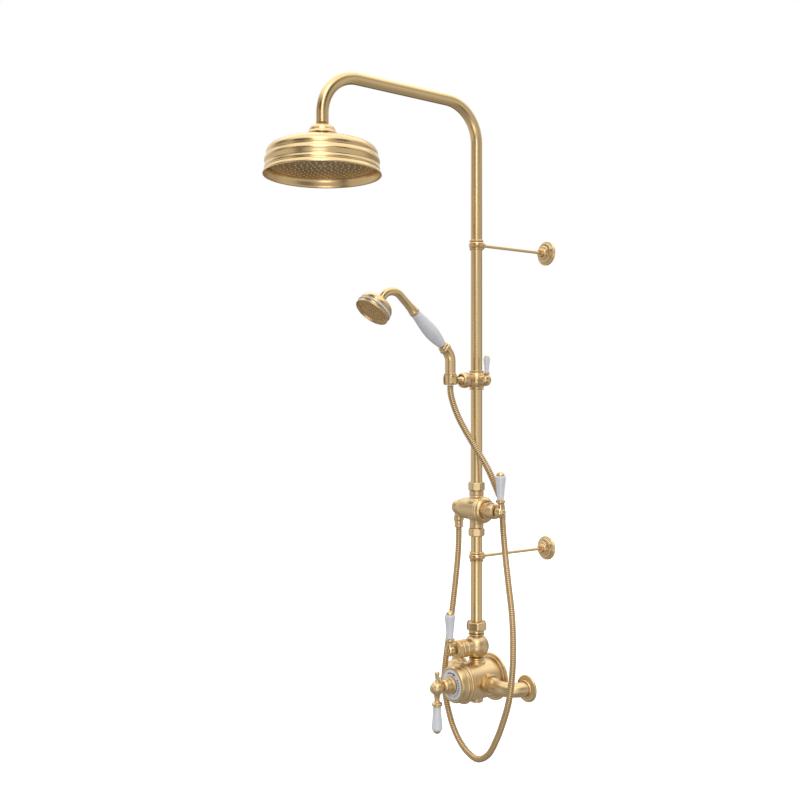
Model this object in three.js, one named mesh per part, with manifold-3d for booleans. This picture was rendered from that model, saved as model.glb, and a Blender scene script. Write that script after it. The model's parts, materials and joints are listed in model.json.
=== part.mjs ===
// An exposed thermostatic shower column in brushed brass and white ceramic: a mixer on the wall, a riser
// with an overhead rose, a diverter, and a handset on a sliding cradle with its hose.
// Millimetres, +Z up. X runs along the wall and +Y into it. The origin is the middle of the mixer's wall
// plate, on the wall. Every piece hangs in one group on the riser's axis, so its numbers count from there.
import * as THREE from "three";
import { mergeVertices } from "three/addons/utils/BufferGeometryUtils.js";
import Module from "manifold-3d";

const wasm = await Module();
wasm.setup();

// ---- Driving dimensions ----
const GAP = 0.35; // left between pieces that touch
const WALL = 41; // riser axis to the wall
const TUBE_R = 11;
const TUBE_BORE = 9.8;
const ARM_Z = 1103; // centreline of the horizontal arm
const BEND_R = 72;
const REACH = 345; // riser axis to the rose's axis
const RIM_Z = 923.3; // the rose's lip
const RIM_R = 102.2;
const BALL_Z = 993; // centre of the rose's ball joint
const BALL_R = 8.2;
const TUBE_END = 1013.7; // lower end of the drop tube
const STAY_ZS = { upper: 836, lower: 237 };
const STAY_END = 187.3; // rear face of the stays' wall roses
const ROD_R = 3;
const SLIDER_Z = 576;
const CRADLE_Y = -64.5; // axis of the cradle's socket, and of the handset's tail
const DIVERTER_Z = 328;
const OUTLET_X = -54;
const FLOW_Z = 65;
const BODY_R = 36;
const DIAL_Y = -62.3;
const INLET_X = 99;
const PIPE_R = 13.5;
const HOSE_R = 6;
const ROUND = 24; // sides of the rose's shell
const FINE = 18; // sides of large turned pieces
const SIDES = 14; // sides of the others, and of the tubes
const SMALL = 10; // sides of stems, shafts and small bores

const X = [1, 0, 0];
const Y = [0, 1, 0];
const Z = [0, 0, 1];
const FRONT = [0, -1, 0];
const DOWN = [0, 0, -1];

const finish = (color, roughness, metalness) =>
  new THREE.MeshStandardMaterial({ color, roughness, metalness });
const BRASS = finish(0xc3a06a, 0.32, 1);
const RAW_BRASS = finish(0xb08d4f, 0.45, 1);
const CERAMIC = finish(0xe4e4ea, 0.12, 0);
const NYLON = finish(0xe9e6dc, 0.5, 0);

const column = new THREE.Group();
column.position.y = -WALL;

// ---- Solids ----

// The solid that a closed geometry bounds, with its faces turned outwards.
function solid(geometry) {
  const bare = geometry.index ? geometry.toNonIndexed() : geometry.clone();
  bare.deleteAttribute("normal");
  bare.deleteAttribute("uv");
  const merged = mergeVertices(bare, 1e-3);
  const position = merged.attributes.position;
  const corner = (i) => new THREE.Vector3().fromBufferAttribute(position, i);
  const faces = [];
  let volume = 0;
  for (let i = 0; i < merged.index.count; i += 3) {
    const [a, b, c] = [0, 1, 2].map((k) => merged.index.getX(i + k));
    if (a === b || b === c || c === a) continue;
    faces.push([a, b, c]);
    volume += corner(a).dot(corner(b).cross(corner(c)));
  }
  const outward = volume < 0 ? faces.map(([a, b, c]) => [a, c, b]) : faces;
  return new wasm.Manifold(
    new wasm.Mesh({
      numProp: 3,
      vertProperties: position.array,
      triVerts: new Uint32Array(outward.flat()),
    }),
  );
}

const join = (first, ...others) => others.reduce((sum, s) => sum.add(s), first);
const cut = (first, ...others) => others.reduce((rest, s) => rest.subtract(s), first);

// Points on an arc of an outline, its angles in degrees.
function arc(r, h, radius, from, to, steps) {
  return Array.from({ length: steps + 1 }, (_, i) => {
    const angle = THREE.MathUtils.degToRad(from + ((to - from) * i) / steps);
    return [r + radius * Math.cos(angle), h + radius * Math.sin(angle)];
  });
}

// Turns +Z to a direction and moves the geometry's own origin to a point.
function place(geometry, at, along) {
  const direction = new THREE.Vector3(...along).normalize();
  const turn = new THREE.Quaternion().setFromUnitVectors(new THREE.Vector3(...Z), direction);
  return geometry.applyQuaternion(turn).translate(...at);
}

// A solid of revolution. Its outline is [radius, height] points that start and end on the axis, or close
// on themselves as a ring.
function turned(outline, at = [0, 0, 0], along = Z, sides = SIDES) {
  const points = outline.map(([r, h]) => new THREE.Vector2(r, h));
  if (outline[0][0] > 0) points.push(points[0].clone());
  const lathe = new THREE.LatheGeometry(points, sides).rotateX(Math.PI / 2);
  return solid(place(lathe, at, along));
}

// A plain rod or drill between two heights, as an outline.
const rod = (r, from, to) => [[0, from], [r, from], [r, to], [0, to]];
const tubeWall = (outer, inner, from, to) => [[inner, from], [outer, from], [outer, to], [inner, to]];

// A nut with six flats and chamfered corners, its corners at radius r.
function hexNut(r, from, to, bore, at, along) {
  const bevel = r * 0.12;
  const round = [[0, from], [r - bevel, from], [r, from + bevel], [r, to - bevel], [r - bevel, to], [0, to]];
  const blank = turned(round, at, along, 12).intersect(turned(rod(r * 1.02, from, to), at, along, 6));
  return cut(blank, turned(rod(bore, from - 1, to + 1), at, along));
}

// A path through stations: a section is swept from one to the next, with no others between them.
class Stations extends THREE.Curve {
  constructor(points, tangents) {
    super();
    this.points = points;
    this.tangents = tangents;
  }
  between(list, u) {
    const place = u * (list.length - 1);
    const index = Math.min(Math.floor(place), list.length - 2);
    return list[index].clone().lerp(list[index + 1], place - index);
  }
  getPoint(u) {
    return this.between(this.points, u);
  }
  getPointAt(u) {
    return this.getPoint(u);
  }
  getTangentAt(u) {
    return this.between(this.tangents, u).normalize();
  }
}

// Stations along straight runs and round bends in one plane. Each leg is a straight length, then a bend
// of a radius and angle in degrees about `axis`.
function plumb(start, heading, axis, legs) {
  const at = new THREE.Vector3(...start);
  const ahead = new THREE.Vector3(...heading).normalize();
  const about = new THREE.Vector3(...axis);
  const points = [at.clone()];
  const tangents = [ahead.clone()];
  for (const { straight, radius = 0, angle = 0, steps = 6 } of legs) {
    if (straight) {
      at.addScaledVector(ahead, straight);
      points.push(at.clone());
      tangents.push(ahead.clone());
    }
    const centre = at.clone().addScaledVector(about.clone().cross(ahead), radius * Math.sign(angle));
    for (let i = 0; i < steps && angle; i++) {
      const turn = THREE.MathUtils.degToRad(angle / steps);
      at.sub(centre).applyAxisAngle(about, turn).add(centre);
      ahead.applyAxisAngle(about, turn);
      points.push(at.clone());
      tangents.push(ahead.clone());
    }
  }
  return new Stations(points, tangents);
}

const circle = (r, sides) =>
  Array.from({ length: sides }, (_, i) => {
    const angle = (2 * Math.PI * i) / sides;
    return new THREE.Vector2(r * Math.cos(angle), r * Math.sin(angle));
  });

// A round bar swept along a path, hollow where it has a bore.
function swept(path, r, bore = 0, sides = SIDES) {
  const section = new THREE.Shape(circle(r, sides));
  if (bore) section.holes.push(new THREE.Path(circle(bore, sides)));
  const steps = path.points.length - 1;
  return solid(new THREE.ExtrudeGeometry(section, { steps, bevelEnabled: false, extrudePath: path }));
}

function part(name, shape, material = BRASS) {
  const { numProp, vertProperties, triVerts } = shape.getMesh();
  const geometry = new THREE.BufferGeometry();
  geometry.setAttribute("position", new THREE.BufferAttribute(vertProperties, numProp));
  geometry.setIndex(new THREE.BufferAttribute(triVerts, 1));
  geometry.computeVertexNormals();
  const mesh = new THREE.Mesh(geometry, material);
  mesh.name = name;
  column.add(mesh);
}

// ---- Riser, arm and stays ----

function riser() {
  const foot = 366;
  const arm = plumb([0, 0, foot], Z, X, [
    { straight: ARM_Z - BEND_R - foot, radius: BEND_R, angle: 90, steps: 6 },
    { straight: REACH - 2 * BEND_R, radius: BEND_R, angle: 90, steps: 6 },
    { straight: ARM_Z - BEND_R - TUBE_END },
  ]);
  part("riser_arm", swept(arm, TUBE_R, TUBE_BORE));
  part("lower_riser", turned(tubeWall(TUBE_R, TUBE_BORE, 92, 292)));
  part("riser_base_nut", hexNut(21, 90.3, 113, TUBE_R + GAP + 0.2));
}

// A stay holds the riser off the wall: a collar screwed to the riser, a rod, and a rose on the wall.
function stay(level, z) {
  const collar = [
    [11.6, -8.5], [12.6, -10], [14.8, -5.5], [14.8, 5.5],
    [12.6, 10], [11.6, 8.5],
  ];
  const socket = turned([[0, 12], [5.2, 12], [6.4, 15], [5.6, 19], [0, 19]], [0, 0, z], Y, SMALL);
  const screwWay = [Math.sin(0.68), -Math.cos(0.68), 0];
  part(
    `stay_collar_${level}`,
    cut(
      join(turned(collar, [0, 0, z], Z), socket),
      turned(rod(ROD_R + GAP, 9, 30), [0, 0, z], Y, SMALL),
      turned(rod(TUBE_R + GAP + 0.2, -30, 30), [0, 0, z]),
      turned(rod(2.6, 8, 20), [0, 0, z], screwWay, 8),
    ),
  );
  part(`stay_rod_${level}`, turned(rod(ROD_R, 12.4, STAY_END), [0, 0, z], Y, SMALL));
  const rose = [
    [ROD_R + GAP, 166], [8.4, 166.6], [8.4, 173], [11.4, 175.6], [18.6, 178.4], [20.6, 182], [24, 183.2],
    [24, STAY_END], [ROD_R + GAP, STAY_END],
  ];
  part(`stay_rose_${level}`, turned(rose, [0, 0, z], Y, FINE));
}

// ---- Overhead rose, on a ball joint ----

function rainRose() {
  const ball = [0, -REACH, BALL_Z];
  const plug = TUBE_BORE - 0.7;
  const shoulder = 24.5; // clear of the nut's rim when it tilts both ways
  const stem = [[0, 6], [4.6, 6], [4.6, shoulder], [plug, shoulder], [plug, 40], [0, 40]];
  part("ball_stud", join(turned(arc(0, 0, BALL_R, -90, 90, 8), ball), turned(stem, ball)), RAW_BRASS);

  const seatSpan = 34; // degrees of the ball that the seat covers, above and below its middle
  const seat = [
    ...arc(0, 0, BALL_R + 2.4, -seatSpan, seatSpan, 3),
    ...arc(0, 0, BALL_R + 0.8, seatSpan + 6, -seatSpan - 6, 4),
  ];
  part("ball_seat", turned(seat, ball), NYLON);

  const cavity = BALL_R + 3.2;
  const dome = [
    [0, -10], [14.6, -10], [14.6, -0.4], [25.6, -0.4], [25.6, 4], [23.2, 5.6], [22.8, 9], [20.8, 12.4], [16.4, 15.6],
    [11, 18.2], [0, 18.2],
  ];
  part(
    "rose_nut",
    cut(
      turned(dome, ball, Z, FINE),
      turned(arc(0, 0, cavity, -90, 90, 6), ball),
      turned(rod(7, -20, 0), ball),
      turned([[0, 0], [8.4, 4], [10, 30], [0, 30]], ball),
    ),
  );

  // The spun shell: a flared lip, two beads, a shoulder and a flat crown.
  const shell = [
    [RIM_R - 1.6, 0], [RIM_R, 0.4], [RIM_R, 2.8], [100, 7.8], [98.2, 12.6], [98, 18.4], [99.2, 21.8], [98.2, 26],
    [96.1, 34], [95.1, 39], [94.2, 43], [90, 47.7], [82.4, 51.6], [69, 55.6], [42.6, 61.6], [24.5, 65],
    [15.2, 65], [15.2, 63.2], [42, 59.8], [68, 53.8], [81, 49.8], [88, 46.4], [93, 40], [94.2, 30], [96.2, 21],
    [96.2, 12], [98.4, 6],
  ];
  part("rose_shell", turned(shell, [0, -REACH, RIM_Z], Z, ROUND));
  part("rose_plate", turned(rod(95, 16.6, 18.8), [0, -REACH, RIM_Z], Z, ROUND));
}

// ---- Lever handles ----

// A lever: a round hub with a conical stem and a collar, a ceramic handle on it and a screwed tip. The
// hub turns on `axis`, which points out of the valve, and the handle points along `up`.
function lever(name, at, axis, up, scale, spindle, extra = []) {
  const s = (outline) => outline.map(([r, h]) => [r * scale, h * scale]);
  const hub = [[0, -9.5], [8, -9.5], [10.5, -3], [10.2, 2.4], [6, 7], [5.4, 9.4], [0, 10.9]];
  const stem = [[0, 0], [8.4, 4], [5, 12.5], [4.4, 16.5], [9.35, 18.8], [9.35, 22.8], [0, 22.8]];
  part(
    `${name}_hub`,
    join(
      turned(s(hub), at, axis),
      turned(s(stem), at, up, SMALL),
      turned(rod(spindle.r, -spindle.reach, -4 * scale), at, axis, SMALL),
      ...extra,
    ),
  );
  const grip = [[0, 23.2], [6.6, 23.2], [6.8, 32], [10.1, 64], [8.9, 68.2], [0, 68.2]];
  part(`${name}_grip`, turned(s(grip), at, up), CERAMIC);
  const tip = [[0, 68.6], [7.8, 68.6], [7.8, 71], [4.4, 75], [0, 76]];
  part(`${name}_tip`, turned(s(tip), at, up, SMALL));
}

// ---- Thermostatic mixer ----

function mixer() {
  const bodyRear = 33;
  const barrel = [[0, -34], [BODY_R - 1, -34], [BODY_R, -33], [BODY_R, bodyRear], [0, bodyRear]];
  const neck = [[0, 20], [15, 20], [15, 34], [17, 37], [14, 40], [14, 43.5], [0, 43.5]];
  const port = [[0, 20], [19, 20], [19, 36.6], [17, 37], [0, 37]];
  const waterway = rod(8.5, 0, 60);
  const boss = [[0, 20], [13, 20], [13, 37.5], [0, 37.5]];
  part(
    "mixer_body",
    cut(
      join(
        turned(barrel, [0, 0, 0], Y, FINE),
        turned(neck),
        turned(port, [0, 0, 0], X),
        turned(port, [0, 0, 0], [-1, 0, 0]),
        turned(boss, [0, 0, 0], DOWN),
      ),
      turned(rod(16, -40, 22), [0, 0, 0], Y),
      turned(waterway),
      turned(waterway, [0, 0, 0], X),
      turned(waterway, [0, 0, 0], [-1, 0, 0]),
    ),
  );
  const plate = [[0, bodyRear + GAP], [40, bodyRear + GAP], [43.5, 35], [45.5, 38], [45.5, WALL], [0, WALL]];
  part("wall_plate", turned(plate, [0, 0, 0], Y, FINE));
  const cartridge = [[0, -21.5], [15.4, -21.5], [15.4, 33.6], [13.6, 34.4], [13.6, 55.6], [0, 55.6]];
  part(
    "thermostat_cartridge",
    cut(turned(cartridge, [0, 0, 0], FRONT), turned(rod(5.2, 42, 60), [0, 0, 0], FRONT, SMALL)),
    RAW_BRASS,
  );
  part("body_plug", turned([[0, 37.9], [12.5, 37.9], [12.5, 41], [11, 42.4], [0, 42.4]], [0, 0, 0], DOWN));

  const bezel = [
    [14.2, 34.4], [36.8, 34.4], [39, 36.6], [39, 41], [35.6, 44.6], [35, 51], [33.2, 59], [29.8, 61.4],
    [28.8, 61.4], [28.8, 59.2], [14.2, 59.2],
  ];
  part("front_bezel", turned(bezel, [0, 0, 0], FRONT, FINE));
  part("dial_ring", turned(tubeWall(28.2, 16, 59.6, -DIAL_Y), [0, 0, 0], FRONT, FINE), CERAMIC);

  for (const [side, sign] of [["left", -1], ["right", 1]]) {
    const outward = [sign, 0, 0];
    const sleeve = 45;
    part(`inlet_nut_${side}`, hexNut(20.5, 37.4, 44.6, 15.8, [0, 0, 0], outward));
    const bend = plumb([sign * sleeve, 0, 0], outward, Z, [
      { straight: INLET_X - sleeve - 30, radius: 30, angle: sign * 90, steps: 4 },
      { straight: WALL - 30.4 },
    ]);
    const collar = turned(tubeWall(15, 11, 38.2, 60), [0, 0, 0], outward);
    part(`inlet_elbow_${side}`, join(swept(bend, PIPE_R, 11), collar));
    const flange = [
      [PIPE_R + GAP + 0.2, 32.4], [15.6, 32.4], [17.5, 34.6], [23.4, 35.8], [25, 37.4], [25, WALL],
      [PIPE_R + GAP + 0.2, WALL],
    ];
    part(`wall_flange_${side}`, turned(flange, [sign * INLET_X, 0, 0], Y, FINE));
  }
}

function temperatureKnob() {
  const base = [
    [6, 62.8], [16.5, 62.8], [16.5, 65.8], [14.6, 67.8], [14.9, 75], [12.4, 80.6], [8.6, 83.4], [6, 83.4],
  ];
  const centre = [0, -96, 0];
  const button = [0, -88, 0];
  part("knob_base", turned(base, [0, 0, 0], FRONT, FINE));
  const globe = [[0, -12.2], [8, -12.2], [8, -10], [11.6, -6.4], [13, -1], [12, 5], [7, 10.6], [6.6, 13.6], [0, 15.4]];
  const finial = [[0, 0], [5, 9], [3.3, 14], [3.3, 22], ...arc(0, 26.7, 4.8, -40, 90, 3)];
  const stem = [[0, 0], [8.6, 4], [5, 18], [4.8, 24], [9.9, 28], [9.9, 32.6], [0, 32.6]];
  part(
    "knob_hub",
    cut(
      join(
        turned(globe, centre, FRONT),
        turned(finial, centre, Z, SMALL),
        turned(stem, centre, DOWN, SMALL),
        turned(rod(4.6, -50, -6), centre, FRONT, SMALL),
      ),
      turned(rod(3.1, 6, 30), button, Z, 8),
    ),
  );
  const grip = [[0, 33], [7.3, 33], [7.6, 42], [10.2, 73], [9, 78], [0, 78]];
  part("knob_grip", turned(grip, centre, DOWN), CERAMIC);
  part("knob_tip", turned([[0, 78.4], [7.6, 78.4], [7.6, 80.8], [4.4, 84.4], [0, 85.3]], centre, DOWN, SMALL));
  part("stop_button", turned([[0, 9.4], [2.7, 9.4], [2.7, 19.2], [0, 19.8]], button, Z, 8));
}

// ---- Flow valve, between the mixer and the riser ----

function flowValve() {
  const centre = [0, 0, FLOW_Z];
  const shell = [[0, -21.2], [11.3, -21.2], ...arc(0, 0, 24, -60, 60, 7), [15.6, 22.4], [15.6, 25], [0, 25]];
  const barrel = [[0, 0], [16.4, 0], [16.4, 38], [17.4, 39.4], [17.4, 42.6], [0, 42.6]];
  part(
    "flow_valve_body",
    cut(
      join(turned(shell, centre, Z, FINE), turned(barrel, centre, FRONT)),
      turned(rod(8.5, -40, 40), centre),
      turned(rod(13.4, 2, 60), centre, FRONT),
    ),
  );
  part(
    "flow_valve_bonnet",
    join(
      hexNut(18.4, 43, 51, 5.4, centre, FRONT),
      turned([[5.4, 50], [13.6, 50], [12, 53.4], [5.4, 54.4]], centre, FRONT),
    ),
  );
  part(
    "flow_cartridge",
    cut(turned(rod(13, 9.4, 42.6), centre, FRONT), turned(rod(5.2, 30, 60), centre, FRONT, SMALL)),
    RAW_BRASS,
  );
  lever("flow_lever", [0, -65.4, FLOW_Z], FRONT, Z, 1, { r: 4.4, reach: 33 });
}

// ---- Diverter, between the lower riser and the riser ----

function diverter() {
  const centre = [0, 0, DIVERTER_Z];
  const barrel = [
    [0, -46], [16, -46], [19.2, -36], [21, -24], [21, 14], [19.8, 16.4], [25.2, 18.4], [25.2, 24.4], [20.4, 29.4], [0, 29.4],
  ];
  const neck = [[0, 15], [13.4, 15], [13.4, 24], [11.8, 27.4], [13.4, 30.4], [13.4, 35.6], [0, 35.6]];
  const outlet = [[0, -23.4], [8.6, -23.4], [8.6, -12], ...arc(0, 0, 14.5, -45, 90, 5)];
  part(
    "diverter_body",
    cut(
      join(
        turned(barrel, centre, X, FINE),
        turned(neck, centre, Z),
        turned(neck, centre, DOWN),
        turned(outlet, [OUTLET_X, 0, DIVERTER_Z], Z),
      ),
      turned(rod(9, -50, 50), centre, Z),
      turned(rod(14, -20, 40), centre, X),
      turned(rod(4.4, -20, 3), [OUTLET_X, 0, DIVERTER_Z], Z, 8),
      turned(rod(4.4, 0, 40), [OUTLET_X, 0, DIVERTER_Z], X, 8),
    ),
  );
  part("diverter_nut_upper", hexNut(16.4, 364, 380.4, TUBE_R + GAP + 0.2));
  part("diverter_nut_lower", hexNut(16.4, 276.4, 292, TUBE_R + GAP + 0.2));
  part(
    "diverter_bonnet",
    join(
      hexNut(18.2, 29.8, 41, 5.4, centre, X),
      turned([[5.4, 40], [14, 40], [14, 54.6], [9.4, 57.6], [5.4, 57.6]], centre, X),
    ),
  );
  part(
    "diverter_cartridge",
    cut(turned(rod(13.6, -19.6, 29.4), centre, X), turned(rod(5.2, 10, 60), centre, X, SMALL)),
    RAW_BRASS,
  );
  lever("diverter_lever", [69, 0, DIVERTER_Z], X, Z, 1, { r: 4.4, reach: 52 });
  const nut = [[6.8, 7], [8.6, 7], [8.8, 20], [10.2, 21.4], [10.2, 29.4], [9.3, 29.4], [9.3, 22.6], [6.8, 21]];
  part("hose_nut", turned(nut, [OUTLET_X, 0, DIVERTER_Z - 47.4]));
}

// ---- Slider, cradle and handset ----

function slider() {
  const centre = [0, 0, SLIDER_Z];
  part("slider_liner", turned(tubeWall(12.8, TUBE_R + 0.6, -18, 18), centre), NYLON);
  const barrel = [[0, -18], [14.4, -18], ...arc(-4.6, 0, 22.6, -32, 32, 5), [14.4, 18], [0, 18]];
  const hub = [[0, 8], [12.6, 8], [12.6, 22], [14.8, 24.5], [14.8, 36.4], [11.6, 39.4], [10.6, 35], [0, 35]];
  const clampBoss = [[0, 8], [10.2, 8], [10.2, 19], [8.6, 22.4], [0, 22.4]];
  part(
    "slider_body",
    cut(
      join(turned(barrel, centre), turned(hub, centre, FRONT), turned(clampBoss, centre, X)),
      turned(rod(13.3, -40, 40), centre),
      turned(rod(6.4, 10, 60), centre, FRONT, SMALL),
      turned(rod(3.6, 10, 40), centre, X, 8),
    ),
  );
  const hubX = 30;
  lever("clamp_lever", [hubX, 0, SLIDER_Z], X, Z, 0.62, { r: 3.1, reach: 16.2 }, [
    turned([[0, -7], [9.6, -7], [11.4, -5.6], [11.4, 0.4], [9.6, 2.4], [0, 4]], [hubX, 0, SLIDER_Z], X),
  ]);

  // The cradle: a conical socket with a front slot, on a shaft that turns in the slider's hub.
  const socket = [[10.8, -9.2], [12.4, -9.2], [13.8, -4], [13.8, 4], [12.4, 9.4], [10.8, 9.4]];
  const shaft = [[0, 13.8], [5.9, 13.8], [5.9, 35.4], [8.4, 36.4], [4.2, 46], [4, 49], [6, 52.4], [0, 53.4]];
  const slot = new THREE.Shape();
  slot.moveTo(0, 0);
  slot.lineTo(-24, -19);
  slot.lineTo(24, -19);
  const opening = new THREE.ExtrudeGeometry(slot, { depth: 40, bevelEnabled: false }).translate(0, CRADLE_Y, SLIDER_Z - 20);
  const bore = turned(rod(10.8, -20, 20), [0, CRADLE_Y, SLIDER_Z]);
  part(
    "cradle",
    cut(join(turned(socket, [0, CRADLE_Y, SLIDER_Z]), turned(shaft, centre, FRONT, SMALL)), bore, solid(opening)),
  );
}

function handset() {
  const lean = 48; // degrees that the handle leans from upright
  const tailR = 10;
  const tailTop = 610;
  const handle = [0, -Math.sin(THREE.MathUtils.degToRad(lean)), Math.cos(THREE.MathUtils.degToRad(lean))];
  const along = (from, way, distance) => from.map((v, i) => v + way[i] * distance);

  const cone = [[6.7, -9.6], [8.4, -9.6], [9.4, -8], [10.1, 9.2], [11.6, 9.9], [11.6, 12.6], [6.7, 12.6]];
  part("hose_cone", turned(cone, [0, CRADLE_Y, SLIDER_Z]));
  const foot = SLIDER_Z + 12.95;
  const tail = plumb([0, CRADLE_Y, foot], Z, X, [
    { straight: tailTop - foot, radius: 30, angle: lean, steps: 5 },
    { straight: 3 },
  ]);
  const knuckle = tail.points.at(-1).toArray();
  const ferrule = [
    [0, -3], [10, -3], [11.6, -0.4], [11.6, 2.4], [9.8, 4.2], [10.4, 7], [8.2, 9.6], [0, 9.6],
  ];
  part("handset_tail", join(swept(tail, tailR), turned(ferrule, knuckle, handle)));

  const gripFoot = along(knuckle, handle, 10);
  const grip = [[0, 0], [7.6, 0], [11.4, 15], [13.4, 38], [11.6, 62], [9, 84], [0, 84]];
  part("handset_grip", turned(grip, gripFoot, handle, FINE), CERAMIC);

  const neckFoot = along(gripFoot, handle, 84.4);
  const neck = plumb(along(neckFoot, handle, 12), handle, X, [
    { straight: 33, radius: 26, angle: 92.6, steps: 6 },
    { straight: 6 },
  ]);
  const spray = neck.tangents.at(-1).toArray();
  const faceCentre = along(neck.points.at(-1).toArray(), spray, 35);
  const back = spray.map((v) => -v);
  const sleeve = [[0, 0], [9.6, 0], [10.2, 3], [7.6, 20], [7.4, 24], [0, 24]];
  const bell = [
    [0, 11], [30.6, 11], ...arc(18.6, 13.6, 13.4, 0, 78, 3), [12, 28.4], [8.6, 31.5], [7.4, 37], [0, 37],
  ];
  part(
    "handset_neck",
    cut(
      join(swept(neck, 7.4), turned(sleeve, neckFoot, handle), turned(bell, faceCentre, back, FINE)),
      turned([[0, 4], [28.6, 4], [28.6, 14], [18, 24], [0, 26]], faceCentre, back),
    ),
  );
  part("handset_ring", turned(tubeWall(33.2, 26.6, 7.8, 10.6), faceCentre, back, FINE), CERAMIC);
  const face = [
    [0, 4.4], [29.6, 4.4], [31, 0], [32.6, 0.6], [31.4, 4], [31.6, 7.4], [26, 7.4], [26, 6.2], [0, 6.2],
  ];
  part("handset_face", turned(face, faceCentre, back, FINE));
}

// ---- Hose: from the diverter's outlet, down past the mixer, up in front of the riser to the cradle ----

const HOSE_ROUTE = [
  [-54, 0, 298], [-54, 0, 272], [-54, -1.6, 240], [-54.2, -6, 200], [-55, -11.6, 155], [-56, -18, 108],
  [-57.8, -24.5, 62], [-59, -30, 22], [-58.8, -33, -12], [-55, -31.5, -43], [-47, -30, -70],
  [-35, -29.4, -94], [-17, -28.6, -116], [5, -27.6, -131], [33, -26, -137.6], [61, -24, -122],
  [83, -22, -88], [101, -20, -47], [112.6, -18, -10], [116.4, -14, 33], [115, -10, 80],
  [104.6, -3, 138], [83, 7, 198], [66.4, 15, 242], [55, 20.6, 280], [50.4, 22.4, 304], [49.4, 22.4, 328],
  [48.4, 18, 350], [46, 7.6, 376], [43.4, -4, 401], [37, -12.4, 421], [27.6, -20.4, 441],
  [19, -29, 461], [11.6, -38, 481], [6, -47, 501], [2.4, -55.4, 522], [0.4, -62, 543],
  [0, -64.4, 556], [0, -64.5, 566],
];

function hose() {
  const route = new THREE.CatmullRomCurve3(HOSE_ROUTE.map((p) => new THREE.Vector3(...p)), false, "centripetal");
  const steps = 50;
  const stations = Array.from({ length: steps + 1 }, (_, i) => i / steps);
  const path = new Stations(
    stations.map((u) => route.getPointAt(u)),
    stations.map((u) => route.getTangentAt(u)),
  );
  part("hose", swept(path, HOSE_R, 0, 8));
}

riser();
for (const [level, z] of Object.entries(STAY_ZS)) stay(level, z);
rainRose();
mixer();
temperatureKnob();
flowValve();
diverter();
slider();
handset();
hose();

export default column;
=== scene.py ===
"""An exposed thermostatic shower column in brushed brass and white ceramic, built round its CAD frame.

Shapes are in millimetres in the row frame and become metres as each mesh is made. X runs along the wall, +Y into
it and +Z up. UVs are in millimetres too: U runs round a turned piece or a tube, and V along it."""

import json
import math

import bpy
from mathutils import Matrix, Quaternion, Vector


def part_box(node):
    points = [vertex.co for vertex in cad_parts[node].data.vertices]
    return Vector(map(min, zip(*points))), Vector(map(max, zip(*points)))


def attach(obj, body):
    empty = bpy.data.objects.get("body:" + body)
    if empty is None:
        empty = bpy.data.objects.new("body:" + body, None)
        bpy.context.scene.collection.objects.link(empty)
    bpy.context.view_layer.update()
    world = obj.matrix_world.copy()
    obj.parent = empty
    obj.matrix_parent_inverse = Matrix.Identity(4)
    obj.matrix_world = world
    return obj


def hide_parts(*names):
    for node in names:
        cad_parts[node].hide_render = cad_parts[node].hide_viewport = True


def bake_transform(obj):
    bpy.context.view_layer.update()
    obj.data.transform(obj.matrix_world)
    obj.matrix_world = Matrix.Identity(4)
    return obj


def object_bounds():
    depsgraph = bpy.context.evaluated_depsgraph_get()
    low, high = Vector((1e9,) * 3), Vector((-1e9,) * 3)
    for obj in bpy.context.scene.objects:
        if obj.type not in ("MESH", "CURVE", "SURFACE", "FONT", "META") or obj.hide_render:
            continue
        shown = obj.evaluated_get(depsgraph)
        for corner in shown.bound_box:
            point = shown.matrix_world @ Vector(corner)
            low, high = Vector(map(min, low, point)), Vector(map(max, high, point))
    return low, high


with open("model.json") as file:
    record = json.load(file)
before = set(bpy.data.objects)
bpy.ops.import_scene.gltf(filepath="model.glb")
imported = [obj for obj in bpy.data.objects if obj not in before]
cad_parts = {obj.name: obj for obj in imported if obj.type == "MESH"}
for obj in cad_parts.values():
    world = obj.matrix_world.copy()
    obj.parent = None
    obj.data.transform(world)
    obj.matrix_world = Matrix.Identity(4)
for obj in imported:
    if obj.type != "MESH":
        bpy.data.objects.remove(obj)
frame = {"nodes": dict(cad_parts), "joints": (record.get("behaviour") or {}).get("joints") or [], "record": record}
cad_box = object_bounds()

MM = 0.001
HOSE_D = 0.012
TUBE_R = 11
VIEW_AZIMUTH = 54.4
SCREW_ANGLE = 0.68
ON_AXIS = 1e-6
BODY_OF = {node: body for body, nodes in frame["record"]["behaviour"]["bodies"].items() for node in nodes}
X = Vector((1, 0, 0))
Y = Vector((0, 1, 0))
Z = Vector((0, 0, 1))
FRONT = -Y
DOWN = -Z


# ---- Places, from the frame ----

def span(node):
    low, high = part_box(node)
    return low / MM, high / MM


def middle(node):
    low, high = span(node)
    return (low + high) / 2


def joint_at(name):
    return Vector(next(j["pos_m"] for j in frame["joints"] if j["name"] == name)) / MM


RISER_Y = middle("lower_riser").y
BALL = joint_at("rose_spin")
ROSE_HEIGHT = 69.7
RIM = BALL - ROSE_HEIGHT * Z
SLIDER = joint_at("slider_turn")
CRADLE = Vector((0, middle("hose_cone").y, SLIDER.z))
DIVERTER = Vector((0, RISER_Y, joint_at("diverter_turn").z))
OUTLET = Vector((middle("hose_nut").x, RISER_Y, DIVERTER.z))
FLOW = Vector((0, RISER_Y, joint_at("flow_turn").z))
MIXER = Vector((0, RISER_Y, 0))
WALL = -RISER_Y
TOWARD_ROOM = Vector((math.sin(SCREW_ANGLE), -math.cos(SCREW_ANGLE), 0))


# ---- Camera ----

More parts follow.
